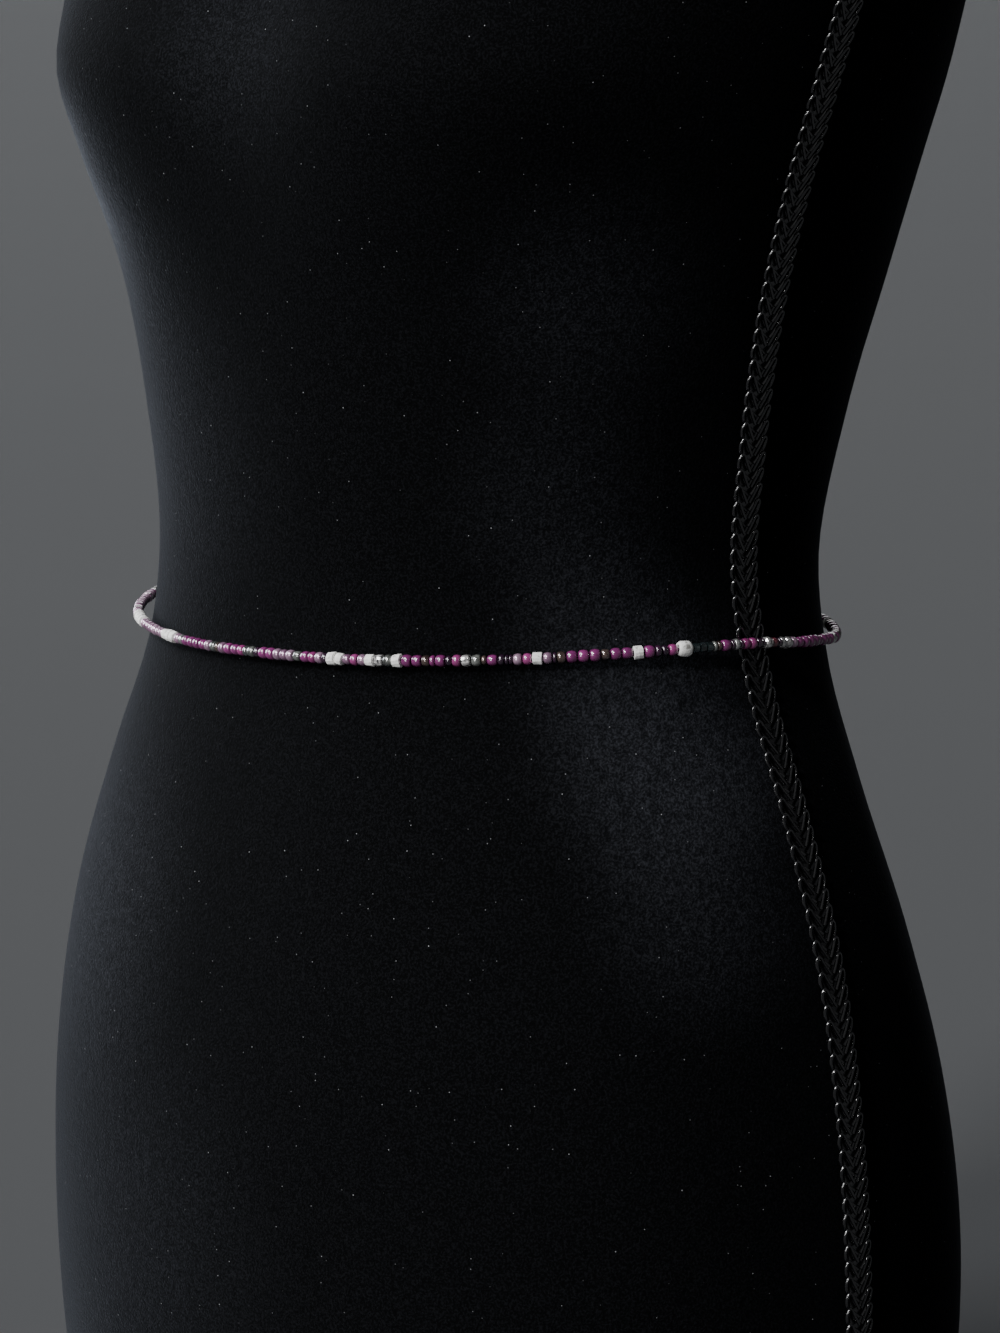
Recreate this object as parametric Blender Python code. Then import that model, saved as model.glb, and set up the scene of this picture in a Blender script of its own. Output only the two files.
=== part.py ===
"""Waist beads worn round a limbless, velvet-covered dress form.

Tables and sizes are in millimetres, and become metres when a mesh is made.
The form stands on its flat base at height 0 and faces -Y, so its own left side is +X.
Angles are degrees round the form: 0 at the centre front and 90 at its left side seam.
"""

import random
from collections import namedtuple

import bmesh
import bpy
import numpy as np

MM = 0.001

# The dress form: one row for each horizontal section, from the base to the top of the neck
Section = namedtuple("Section", "height half_width front back squareness bust")
FORM_SECTIONS = (
    Section(0, 157, 98, 119, 2.20, 0),
    Section(20, 159, 101, 122, 2.20, 0),
    Section(60, 162, 106, 129, 2.20, 0),
    Section(105, 162, 109, 131, 2.20, 0),
    Section(155, 158, 109, 122, 2.20, 0),
    Section(205, 149, 103, 105, 2.20, 0),
    Section(250, 134, 93, 91.5, 2.20, 0),
    Section(285, 120, 85.2, 88.2, 2.20, 0),
    Section(315, 113, 85.3, 90.2, 2.20, 0),
    Section(360, 116, 89.2, 104, 2.20, 0),
    Section(405, 124, 93.5, 120, 2.25, 2),
    Section(440, 134, 93.5, 127, 2.30, 12),
    Section(465, 143, 92, 129, 2.35, 18),
    Section(500, 155, 85, 127, 2.40, 12),
    Section(545, 163, 78.5, 119, 2.50, 3),
    Section(620, 170, 69, 99, 2.60, 0),
    Section(660, 168, 60, 82, 2.60, 0),
    Section(684, 148, 52, 72, 2.50, 0),
    Section(700, 110, 48, 64, 2.30, 0),
    Section(714, 76, 48, 56, 2.10, 0),
    Section(730, 60, 51, 50, 2.00, 0),
    Section(755, 56, 53, 47, 2.00, 0),
    Section(775, 55, 54, 46, 2.00, 0),
)
BUST_ANGLE = 39.0
BUST_SPREAD = 22.0
BUST_VALLEY = 0.45
FORM_SIDES = 36
EDGE_ROUND = 4.0

# Where the form's rings lie: closer together under the strand and over the shoulders
Stretch = namedtuple("Stretch", "bottom top rings")
FORM_STRETCHES = (
    Stretch(4, 266, 12),
    Stretch(266, 320, 6),
    Stretch(320, 656, 15),
    Stretch(656, 740, 8),
    Stretch(740, 771, 2),
)

# The gimp braid over the seam that runs up each side and along the shoulder
BRAID_WIDTH = 11.0
BRAID_THICKNESS = 1.5
BRAID_EDGE_SHARE = 0.45
BRAID_BOTTOM = 7.0
BRAID_TOP = 767.0
SEAT = 0.3

# How the strand hangs: the height where it touches the form, and how far it stands off
Hang = namedtuple("Hang", "angle height stand_off")
STRAND_HANG = (
    Hang(-180, 293.5, 0.4),
    Hang(-125, 293.5, 0.4),
    Hang(-105, 294.0, 0.8),
    Hang(-90, 294.2, 2.3),
    Hang(-75, 293.4, 2.3),
    Hang(-64, 292.0, 2.8),
    Hang(-54, 291.0, 3.0),
    Hang(-42, 290.2, 2.0),
    Hang(-28, 290.2, 0.9),
    Hang(-8, 291.4, 0.4),
    Hang(22, 293.9, 0.4),
    Hang(50, 297.3, 0.4),
    Hang(68, 299.3, 0.9),
    Hang(80, 299.5, 1.7),
    Hang(90, 298.6, 2.3),
    Hang(98, 296.8, 2.2),
    Hang(106, 295.3, 1.9),
    Hang(118, 293.3, 1.8),
    Hang(131, 293.9, 1.4),
    Hang(148, 293.6, 0.4),
)
STRAND_RADIUS = 1.9
OVAL_ANGLE = 77.0
BEAD_SIDES = 8
NECK_SHARE = 0.62
SHOULDER_SHARE = 0.22
OVAL_LOOPS = ((0.0, 0.50), (0.12, 0.80), (0.32, 0.98), (0.68, 0.98), (0.88, 0.80), (1.0, 0.50))
RUN_COUNT = 12

# Seed beads by the letter that the stringing order uses
Bead = namedtuple("Bead", "length diameter")
BEADS = {
    "P": Bead(3.4, 3.6),
    "p": Bead(1.7, 3.4),
    "M": Bead(2.8, 3.5),
    "m": Bead(1.9, 3.4),
    "L": Bead(2.9, 3.5),
    "D": Bead(2.1, 3.3),
    "d": Bead(1.2, 3.1),
    "W": Bead(3.2, 3.9),
    "w": Bead(2.8, 3.7),
    "C": Bead(3.2, 3.7),
    "S": Bead(2.0, 3.3),
    "G": Bead(3.2, 3.5),
    "g": Bead(1.4, 3.2),
    "B": Bead(2.7, 3.4),
    "b": Bead(1.6, 3.2),
    "T": Bead(2.3, 3.1),
    "R": Bead(2.8, 3.4),
    "O": Bead(4.9, 5.0),
}
AFTER_OVAL = "TTTgbPdSdMMDdCRdSCLPPPPPPPPCDPD"
BEFORE_OVAL = (
    "SLLwWWwLLLLLLLwwWLSPPPPLGbLPPMSGDPPLLLGPMLDWw"
    "LMLWCGWPPBpPDMCGbPDddLMWLdBPPPBPPWPDDM"
)
HIDDEN_MIX = "PPPPPPPpMMmLLLDDdWWwCCSSGGgBBbTR"
HIDDEN_SEED = 11


def clear_scene():
    """Leaves an empty scene."""
    for item in list(bpy.data.objects):
        bpy.data.objects.remove(item, do_unlink=True)


def smooth_curve(stations, values, at):
    """Values read at some places from a smooth curve through the stations."""
    stations = np.asarray(stations, float)
    values = np.asarray(values, float)
    slopes = np.gradient(values, stations, axis=0)
    at = np.asarray(at, float)
    low = np.clip(np.searchsorted(stations, at) - 1, 0, len(stations) - 2)
    span = (stations[low + 1] - stations[low])[..., None]
    t = (at - stations[low])[..., None] / span
    return (
        (2 * t**3 - 3 * t**2 + 1) * values[low]
        + (t**3 - 2 * t**2 + t) * span * slopes[low]
        + (3 * t**2 - 2 * t**3) * values[low + 1]
        + (t**3 - t**2) * span * slopes[low + 1]
    )


def form_point(angle, height):
    """Points on the form's surface at angles round it and heights above its base."""
    angle, height = np.broadcast_arrays(np.asarray(angle, float), np.asarray(height, float))
    rows = np.array(FORM_SECTIONS, float)
    sizes = smooth_curve(rows[:, 0], rows[:, 1:], height)
    half_width, front, back, squareness, bust = np.moveaxis(sizes, -1, 0)
    across = np.sin(np.radians(angle))
    along = np.cos(np.radians(angle))
    depth = np.where(along > 0, front, back)
    power = np.abs(across / half_width) ** squareness + np.abs(along / depth) ** squareness
    radius = power ** (-1 / squareness)
    turned = (angle + 180) % 360 - 180
    past_lobe = np.abs(turned) - BUST_ANGLE
    side = np.exp(-((past_lobe / BUST_SPREAD) ** 2))
    middle = 1 - BUST_VALLEY * (1 + np.cos(np.pi * turned / BUST_ANGLE)) / 2
    radius = radius + bust * np.where(past_lobe > 0, side, middle)
    return np.stack([radius * across, -radius * along, height], -1)


def unit(vectors):
    """The same directions with length one."""
    return vectors / np.sqrt((vectors**2).sum(-1, keepdims=True))


def form_normal(angle, height):
    """Outward directions of the form's surface."""
    step_angle, step_height = 0.2, 0.5
    round_it = form_point(angle + step_angle, height) - form_point(angle - step_angle, height)
    up_it = form_point(angle, height + step_height) - form_point(angle, height - step_height)
    return unit(np.cross(round_it, up_it))


def strand_line(angle):
    """Points on the strand's centre line, and the form's outward directions there."""
    rows = np.array(STRAND_HANG, float)
    rows = np.concatenate([rows - [360, 0, 0], rows, rows + [360, 0, 0]])
    hang = smooth_curve(rows[:, 0], rows[:, 1:], angle)
    height, stand_off = hang[..., 0], hang[..., 1]
    outward = form_normal(angle, height)
    return form_point(angle, height) + outward * (STRAND_RADIUS + stand_off)[..., None], outward


def material(name, colour, roughness, metallic=0.0):
    """A surface material."""
    made = bpy.data.materials.new(name)
    made.use_nodes = True
    shader = made.node_tree.nodes["Principled BSDF"]
    shader.inputs["Base Color"].default_value = (*colour, 1.0)
    shader.inputs["Roughness"].default_value = roughness
    shader.inputs["Metallic"].default_value = metallic
    made.diffuse_color = (*colour, 1.0)
    return made


def ring_solid(name, rings, look, sharp_angle=1.2):
    """A closed solid through rings of points given in millimetres, flat at both ends."""
    bm = bmesh.new()
    loops = [[bm.verts.new(tuple(point * MM)) for point in ring] for ring in rings]
    count = len(loops[0])
    for lower, upper in zip(loops, loops[1:]):
        for i in range(count):
            j = (i + 1) % count
            bm.faces.new((lower[i], lower[j], upper[j], upper[i]))
    bm.faces.new(loops[0][::-1])
    bm.faces.new(loops[-1])
    bmesh.ops.recalc_face_normals(bm, faces=bm.faces)
    mesh = bpy.data.meshes.new(name)
    bm.to_mesh(mesh)
    bm.free()
    mesh.shade_smooth()
    mesh.set_sharp_from_angle(angle=sharp_angle)
    mesh.materials.append(look)
    made = bpy.data.objects.new(name, mesh)
    bpy.context.scene.collection.objects.link(made)
    return made


def form_heights():
    """Heights of the form's rings between its two rounded edges."""
    heights = []
    for stretch in FORM_STRETCHES:
        heights += list(np.linspace(stretch.bottom, stretch.top, stretch.rings, endpoint=False))
    return [*heights, FORM_STRETCHES[-1].top]


def make_form(look):
    """The torso, from its flat base to its flat neck top, with both edges rounded."""
    angles = np.arange(FORM_SIDES) * 360 / FORM_SIDES
    rings = [form_point(angles, height) for height in form_heights()]

    def drawn_in(height):
        ring = form_point(angles, height)
        inward = unit(ring * [1, 1, 0])
        return ring - inward * EDGE_ROUND

    rings = [drawn_in(FORM_SECTIONS[0].height), *rings, drawn_in(FORM_SECTIONS[-1].height)]
    return ring_solid("dress_form", rings, look)


def make_braid(name, side_angle, look):
    """The braid over one side seam: a low strip that bends where the form's rings do."""
    across = BRAID_WIDTH * np.array([-0.5, -BRAID_EDGE_SHARE, 0, BRAID_EDGE_SHARE, 0.5])
    heights = [height for height in form_heights() if BRAID_BOTTOM < height < BRAID_TOP]
    rings = []
    for height in [BRAID_BOTTOM, *heights, BRAID_TOP]:
        seam = form_point(side_angle, height)
        angles = side_angle + np.degrees(across / np.hypot(seam[0], seam[1]))
        ground = form_point(angles, height)
        outward = form_normal(angles, height)
        under = ground + outward * SEAT
        over = ground[1:-1] + outward[1:-1] * (SEAT + BRAID_THICKNESS)
        rings.append(np.concatenate([under, over[::-1]]))
    return ring_solid(name, rings, look, sharp_angle=0.6)


def stringing_order(loop_length):
    """Bead letters all round the loop, from the oval bead towards the form's left and back."""
    shown = AFTER_OVAL + BEFORE_OVAL
    room = loop_length - BEADS["O"].length - sum(BEADS[letter].length for letter in shown)
    dice = random.Random(HIDDEN_SEED)
    hidden = []
    letter = dice.choice(HIDDEN_MIX)
    while room > BEADS[letter].length:
        hidden.append(letter)
        room -= BEADS[letter].length
        letter = dice.choice(HIDDEN_MIX)
    return "O" + AFTER_OVAL + "".join(hidden) + BEFORE_OVAL


class Strand:
    """The closed line that the beads are strung along, measured by distance."""

    def __init__(self):
        self.angles = np.linspace(OVAL_ANGLE, OVAL_ANGLE + 360, 4321)
        turned = (self.angles + 180) % 360 - 180
        self.points, self.outward = strand_line(turned)
        steps = np.sqrt((np.diff(self.points, axis=0) ** 2).sum(-1))
        self.reach = np.concatenate([[0], np.cumsum(steps)])
        self.length = self.reach[-1]

    def read(self, rows, distance):
        """Rows known along the line, read at a distance from its start."""
        distance = distance % self.length
        return np.array([np.interp(distance, self.reach, rows[:, k]) for k in range(3)])

    def ring(self, distance, radius):
        """Points of a circle round the line."""
        centre = self.read(self.points, distance)
        ahead = self.read(self.points, distance + 0.3)
        behind = self.read(self.points, distance - 0.3)
        along = unit(ahead - behind)
        outward = self.read(self.outward, distance)
        outward = unit(outward - along * (outward @ along))
        upward = np.cross(along, outward)
        turns = (np.arange(BEAD_SIDES) + 0.5) * 2 * np.pi / BEAD_SIDES
        return centre + radius * (
            np.cos(turns)[:, None] * outward + np.sin(turns)[:, None] * upward
        )


def make_run(name, strand, letters, start, pitch_slack, look):
    """One stretch of beads, joined where the ends of neighbours press together."""
    rings = []
    distance = start
    for place, letter in enumerate(letters):
        bead = BEADS[letter]
        radius = bead.diameter / 2
        before = BEADS[letters[max(place - 1, 0)]].diameter / 2
        neck = NECK_SHARE * min(radius, before)
        lead = SEAT / 2 if place == 0 else 0.0
        rings.append(strand.ring(distance + lead, neck))
        rings.append(strand.ring(distance + SHOULDER_SHARE * bead.length, radius))
        rings.append(strand.ring(distance + (1 - SHOULDER_SHARE) * bead.length, radius))
        distance += bead.length + pitch_slack
    last = NECK_SHARE * BEADS[letters[-1]].diameter / 2
    rings.append(strand.ring(distance - SEAT / 2, last))
    return ring_solid(name, rings, look), distance


def make_oval(strand, start, look):
    """The one larger oval bead."""
    bead = BEADS["O"]
    room = bead.length - SEAT
    rings = [
        strand.ring(start + SEAT / 2 + share * room, size * bead.diameter / 2)
        for share, size in OVAL_LOOPS
    ]
    return ring_solid("oval_bead", rings, look)


def make_strand(glass, stone):
    """The oval bead and the runs of seed beads that close the loop."""
    strand = Strand()
    order = stringing_order(strand.length)
    used = sum(BEADS[letter].length for letter in order)
    slack = (strand.length - used) / len(order)
    oval = BEADS["O"]
    start = -oval.length / 2
    make_oval(strand, start, stone)
    seeds = order[1:]
    cuts = np.round(np.linspace(0, len(seeds), RUN_COUNT + 1)).astype(int)
    distance = start + oval.length + slack
    for number, (first, last) in enumerate(zip(cuts, cuts[1:]), 1):
        name = f"bead_run_{number:02d}"
        _, distance = make_run(name, strand, seeds[first:last], distance, slack, glass)


def main():
    """Builds the form, its braids and the strand."""
    clear_scene()
    velvet = material("black velvet", (0.012, 0.012, 0.015), 0.95)
    gimp = material("black gimp braid", (0.02, 0.02, 0.022), 0.55)
    glass = material("plum glass", (0.20, 0.02, 0.18), 0.15)
    stone = material("white stone", (0.80, 0.79, 0.76), 0.60)
    make_form(velvet)
    make_braid("side_braid_left", 90.0, gimp)
    make_braid("side_braid_right", -90.0, gimp)
    make_strand(glass, stone)


main()
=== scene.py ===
"""Waist beads worn round a limbless dress form covered in black velvet.

Tables and sizes are in millimetres, and become metres when a mesh is made.
The form stands on its flat base at height 0 and faces -Y, so its own left side is +X.
Angles are degrees round the form: 0 at the centre front and 90 at its left side seam.
"""

import logging
import math
import random
from collections.abc import Sequence
from dataclasses import dataclass, field
from enum import Enum
from functools import cached_property
from typing import NamedTuple

import bpy
import numpy as np
from mathutils import Matrix, Vector, noise


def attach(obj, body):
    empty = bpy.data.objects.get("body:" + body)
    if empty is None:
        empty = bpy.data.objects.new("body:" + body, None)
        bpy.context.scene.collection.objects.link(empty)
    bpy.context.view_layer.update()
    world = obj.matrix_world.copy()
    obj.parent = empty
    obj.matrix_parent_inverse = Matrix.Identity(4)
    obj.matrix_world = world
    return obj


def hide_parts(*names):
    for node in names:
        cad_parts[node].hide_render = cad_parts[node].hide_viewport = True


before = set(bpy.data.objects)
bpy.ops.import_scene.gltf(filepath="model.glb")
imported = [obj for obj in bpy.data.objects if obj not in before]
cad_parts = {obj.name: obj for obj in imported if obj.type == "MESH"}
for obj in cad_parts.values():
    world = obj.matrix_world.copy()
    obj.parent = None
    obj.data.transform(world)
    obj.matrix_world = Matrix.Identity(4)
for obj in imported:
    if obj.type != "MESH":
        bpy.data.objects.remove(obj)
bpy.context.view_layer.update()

MM = 0.001
BODY = "root"
LOG = logging.getLogger("waist_beads")

Piece = bpy.types.Object
Socket = bpy.types.NodeSocket
Colour = tuple[float, float, float]
Pair = tuple[float, float]


# Tools for modelling by hand in code


def deselect_all() -> None:
    """Leaves nothing selected."""
    bpy.ops.object.select_all(action="DESELECT")


def work_on(*pieces: Piece) -> None:
    """Selects these pieces alone and makes the first one active.

    Args:
        pieces: the pieces to work on.
    """
    deselect_all()
    for piece in pieces:
        piece.select_set(True)
    bpy.context.view_layer.objects.active = pieces[0]


def added(name: str) -> Piece:
    """Names the object that the last operator made.

    Args:
        name: the name for the object and its mesh.

    Returns:
        The object.
    """
    piece = bpy.context.object
    piece.name = name
    piece.data.name = name
    return piece


def coordinates(mesh: bpy.types.Mesh) -> np.ndarray:
    """Reads where a mesh's vertices are.

    Args:
        mesh: the mesh to read.

    Returns:
        Rows of x, y and z.
    """
    rows = np.empty(len(mesh.vertices) * 3)
    mesh.vertices.foreach_get("co", rows)
    return rows.reshape(-1, 3)


def reshape_mesh(mesh: bpy.types.Mesh, rows: np.ndarray) -> None:
    """Moves a mesh's vertices to rows of x, y and z."""
    mesh.vertices.foreach_set("co", np.ascontiguousarray(rows, dtype=float).ravel())
    mesh.update()


def apply_modifier(piece: Piece, kind: str, **settings: object) -> None:
    """Adds a modifier with its settings and applies it.

    Args:
        piece: the piece to change.
        kind: the modifier's type.
        settings: values for the modifier's own properties.
    """
    modifier = piece.modifiers.new(kind.lower(), kind)
    for name, value in settings.items():
        setattr(modifier, name, value)
    work_on(piece)
    bpy.ops.object.modifier_apply(modifier=modifier.name)


def turn_faces_out() -> None:
    """Points every face of the active piece outwards."""
    bpy.ops.object.mode_set(mode="EDIT")
    bpy.ops.mesh.select_all(action="SELECT")
    bpy.ops.mesh.normals_make_consistent(inside=False)
    bpy.ops.object.mode_set(mode="OBJECT")


def round_cord(name: str, rows: np.ndarray, thickness: float, closed: bool) -> Piece:
    """Makes a round cord through points.

    Args:
        name: the cord's name.
        rows: the points that the cord runs through.
        thickness: the cord's diameter.
        closed: whether the cord's end joins its start.

    Returns:
        The cord as a mesh, selected and active.
    """
    curve = bpy.data.curves.new(name, "CURVE")
    curve.dimensions = "3D"
    curve.bevel_depth = thickness / 2 * MM
    curve.bevel_resolution = 1
    curve.use_fill_caps = not closed
    spline = curve.splines.new("POLY")
    spline.points.add(len(rows) - 1)
    for point, row in zip(spline.points, rows):
        point.co = (*(row * MM), 1.0)
    spline.use_cyclic_u = closed
    piece = bpy.data.objects.new(name, curve)
    bpy.context.scene.collection.objects.link(piece)
    work_on(piece)
    bpy.ops.object.convert(target="MESH")
    return piece


def unit(vectors: np.ndarray) -> np.ndarray:
    """The same directions with length one."""
    return vectors / np.sqrt((vectors**2).sum(-1, keepdims=True))


def smooth_curve(stations: np.ndarray, values: np.ndarray, at: np.ndarray) -> np.ndarray:
    """Reads a smooth curve that runs through known values.

    Args:
        stations: the places where the values are known, in rising order.
        values: one row of values for each station.
        at: the places to read.

    Returns:
        One row of values for each place.
    """
    slopes = np.gradient(values, stations, axis=0)
    low = np.clip(np.searchsorted(stations, at) - 1, 0, len(stations) - 2)
    span = (stations[low + 1] - stations[low])[..., None]
    t = (at - stations[low])[..., None] / span
    return (
        (2 * t**3 - 3 * t**2 + 1) * values[low]
        + (t**3 - 2 * t**2 + t) * span * slopes[low]
        + (3 * t**2 - 2 * t**3) * values[low + 1]
        + (t**3 - t**2) * span * slopes[low + 1]
    )


# Finishes

# A whole share, and the range that most of a noise's values lie in
WHOLE = (0.0, 1.0)
NOISE_RANGE = (0.3, 0.7)
BEAD_SHADE = "bead_shade"


class Look:
    """A material whose nodes are added one by one round its Principled shader."""

    def __init__(self, name: str, **sockets: float | tuple[float, ...]) -> None:
        """Makes the material.

        Args:
            name: the material's name.
            sockets: values for the shader's sockets, with _ for each space.
        """
        self.material = bpy.data.materials.new(name)
        self.material.use_nodes = True
        self.tree = self.material.node_tree
        self.shader = self.tree.nodes["Principled BSDF"]
        for socket, value in sockets.items():
            self.shader.inputs[socket.replace("_", " ")].default_value = value
        self.place = self.add("ShaderNodeTexCoord").outputs["Object"]

    def add(self, kind: str, **inputs: object) -> bpy.types.Node:
        """Adds a node.

        Args:
            kind: the node's type.
            inputs: a value or an output to link for each input, with _ for each space.

        Returns:
            The new node.
        """
        node = self.tree.nodes.new(kind)
        for name, value in inputs.items():
            self.feed(node.inputs[name.replace("_", " ")], value)
        return node

    def feed(self, socket: Socket, value: object) -> None:
        """Links an output to a socket, or sets the socket's own value.

        Args:
            socket: the input.
            value: the output to link, or the value.
        """
        if isinstance(value, Socket):
            self.tree.links.new(value, socket)
        else:
            socket.default_value = value

    def stretched(self, scale: tuple[float, float, float]) -> Socket:
        """Object coordinates times a scale for each axis."""
        return self.add("ShaderNodeMapping", Vector=self.place, Scale=scale).outputs["Vector"]

    def warped(self, where: Socket, scale: float, reach_m: float) -> Socket:
        """Pushes coordinates about by a noise, so that a pattern on them runs in bent streaks.

        Args:
            where: the coordinates.
            scale: the noise's scale.
            reach_m: how far a point is pushed at most, to each side.

        Returns:
            The pushed coordinates.
        """
        drift = self.add("ShaderNodeTexNoise", Vector=where, Scale=scale, Detail=1.0)
        pushed = self.tree.nodes.new("ShaderNodeVectorMath")
        pushed.operation = "MULTIPLY_ADD"
        self.feed(pushed.inputs[0], drift.outputs["Color"])
        self.feed(pushed.inputs[1], (2 * reach_m,) * 3)
        self.feed(pushed.inputs[2], where)
        return pushed.outputs["Vector"]

    def noise(self, where: Socket, scale: float, detail: float = 2.0) -> Socket:
        """A noise value from 0 to 1."""
        node = self.add("ShaderNodeTexNoise", Vector=where, Scale=scale, Detail=detail)
        return node.outputs["Fac"]

    def distance(self, middle: Vector) -> Socket:
        """Measures how far a point lies from a place on the object.

        Args:
            middle: the place, in metres.

        Returns:
            The distance in metres.
        """
        node = self.tree.nodes.new("ShaderNodeVectorMath")
        node.operation = "DISTANCE"
        self.feed(node.inputs[0], self.place)
        self.feed(node.inputs[1], tuple(middle))
        return node.outputs["Value"]

    def between(self, value: Socket, given: Pair, wanted: Pair, smooth: bool = False) -> Socket:
        """Moves a value from one range to another, and keeps it inside.

        Args:
            value: the value.
            given: the range that it comes from.
            wanted: the range that it goes to.
            smooth: whether it eases in and out at the ends.

        Returns:
            The moved value.
        """
        node = self.add("ShaderNodeMapRange", Value=value)
        node.interpolation_type = "SMOOTHSTEP" if smooth else "LINEAR"
        for name, number in zip(("From Min", "From Max", "To Min", "To Max"), (*given, *wanted)):
            node.inputs[name].default_value = number
        return node.outputs["Result"]

    def mixed(self, share: Socket, first: object, second: object) -> Socket:
        """Mixes two colours.

        Args:
            share: how much of the second colour there is.
            first: a colour, or an output.
            second: a colour, or an output.

        Returns:
            The colour between them.
        """
        node = self.tree.nodes.new("ShaderNodeMix")
        node.data_type = "RGBA"
        self.feed(node.inputs["Factor"], share)
        for name, value in (("A", first), ("B", second)):
            socket = next(s for s in node.inputs if s.name == name and s.type == "RGBA")
            self.feed(socket, value if isinstance(value, Socket) else (*value, 1.0))
        return next(s for s in node.outputs if s.type == "RGBA")

    def maths(self, operation: str, first: object, second: object) -> Socket:
        """Works out one sum on two values.

        Args:
            operation: the sum's type, such as ADD or MULTIPLY.
            first: a number, or an output.
            second: a number, or an output.

        Returns:
            The result.
        """
        node = self.tree.nodes.new("ShaderNodeMath")
        node.operation = operation
        self.feed(node.inputs[0], first)
        self.feed(node.inputs[1], second)
        return node.outputs["Value"]

    def bump(self, height: Socket, strength: float, depth_mm: float) -> None:
        """Raises the surface's shading by a height from 0 to 1."""
        node = self.add("ShaderNodeBump", Height=height, Strength=strength, Distance=depth_mm * MM)
        self.feed(self.shader.inputs["Normal"], node.outputs["Normal"])

    def paint(self, **outputs: Socket) -> None:
        """Links outputs to the shader's sockets, with _ for each space."""
        for socket, output in outputs.items():
            self.feed(self.shader.inputs[socket.replace("_", " ")], output)


class BrushedAndPaintedSheen(NamedTuple):
    """A place on the form where the velvet is painted paler: on the front this is painted sheen, the light
    and sheen that fall there put into the colour, and at the back it is paler brushed nap.
    """

    angle: float
    height: float
    reach: float
    strength: float


# Painted sheen: the ten places on the front stand in for light and sheen falling there; the two at the back
# are paler brushed nap
BRUSHED_AND_PAINTED_SHEEN = (
    BrushedAndPaintedSheen(75, 270, 54, 0.56),
    BrushedAndPaintedSheen(84, 262, 30, 0.22),
    BrushedAndPaintedSheen(67, 303, 42, 0.34),
    BrushedAndPaintedSheen(76, 228, 50, 0.30),
    BrushedAndPaintedSheen(60, 345, 46, 0.20),
    BrushedAndPaintedSheen(63, 404, 50, 0.26),
    BrushedAndPaintedSheen(-2, 478, 50, 0.18),
    BrushedAndPaintedSheen(-31, 350, 70, 0.16),
    BrushedAndPaintedSheen(-48, 205, 84, 0.40),
    BrushedAndPaintedSheen(-26, 110, 90, 0.18),
    BrushedAndPaintedSheen(150, 200, 120, 0.4),
    BrushedAndPaintedSheen(215, 470, 110, 0.4),
)


@dataclass(frozen=True)
class Velvet:
    """Black velvet with a fine nap, a cool sheen, paler patches of painted sheen and brushed nap, and specks
    of lint.

    A bend is a noise's scale and its reach in metres. A range is the stretch of a noise's values that
    is used, and a share is how strongly it then shows.
    """

    name: str
    sheen: float
    deep: Colour = (0.0008, 0.0009, 0.0011)
    fleck: Colour = (0.0050, 0.0053, 0.0064)
    # The patches' paler colour: painted sheen on the front, brushed nap at the back
    brushed_and_painted_sheen: Colour = (0.050, 0.053, 0.064)
    lint: Colour = (0.36, 0.365, 0.38)
    nap_scale: float = 1450.0
    nap_bend: Pair = (300.0, 0.0008)
    tuft_range: Pair = (0.42, 0.70)
    tuft_share: Pair = (0.32, 1.15)
    wrinkle_scale: float = 420.0
    wrinkle_bend: Pair = (150.0, 0.0020)
    wrinkle_range: Pair = (0.36, 0.62)
    wrinkle_share: Pair = (0.50, 1.0)
    wrinkle_height: float = 0.5
    full_share: float = 0.1
    lint_scale: float = 330.0
    lint_size: Pair = (0.040, 0.070)
    lint_chosen: Pair = (0.45, 1.0)
    relief: float = 0.7
    relief_depth: float = 0.30

    def make(self, places: Sequence[tuple[Vector, float, float]]) -> bpy.types.Material:
        """Makes the material.

        Args:
            places: each paler patch's middle and reach, in metres, and its strength; the patches are painted
                sheen on the front and brushed nap at the back.

        Returns:
            The material.
        """
        look = Look(
            self.name,
            Roughness=0.9,
            Specular_IOR_Level=0.05,
            Sheen_Weight=self.sheen,
            Sheen_Roughness=0.27,
            Sheen_Tint=(0.74, 0.80, 0.93, 1.0),
        )
        nap = look.noise(look.warped(look.place, *self.nap_bend), self.nap_scale, detail=1.0)
        wrinkle = look.noise(look.warped(look.place, *self.wrinkle_bend), self.wrinkle_scale)
        tufts = look.between(nap, self.tuft_range, WHOLE)
        colour = look.mixed(tufts, self.deep, self.fleck)
        crumple = look.between(wrinkle, self.wrinkle_range, self.wrinkle_share)
        standing = look.maths("MULTIPLY", look.between(tufts, WHOLE, self.tuft_share), crumple)
        # Painted sheen: round each patch the colour is pushed towards the paler one, through the nap's
        # pattern
        for middle, reach, strength in places:
            away = look.distance(middle)
            share = look.between(away, (self.full_share * reach, reach), (strength, 0.0), smooth=True)
            colour = look.mixed(look.maths("MULTIPLY", share, standing), colour, self.brushed_and_painted_sheen)
        cells = look.add("ShaderNodeTexVoronoi", Vector=look.place, Scale=self.lint_scale)
        near = look.between(cells.outputs["Distance"], self.lint_size, (1.0, 0.0))
        split = look.add("ShaderNodeSeparateColor", Color=cells.outputs["Color"])
        few = look.between(split.outputs["Red"], self.lint_chosen, WHOLE)
        look.paint(Base_Color=look.mixed(look.maths("MULTIPLY", near, few), colour, self.lint))
        folds = look.maths("MULTIPLY", wrinkle, self.wrinkle_height)
        look.bump(look.maths("ADD", nap, folds), self.relief, self.relief_depth)
        return look.material


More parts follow.
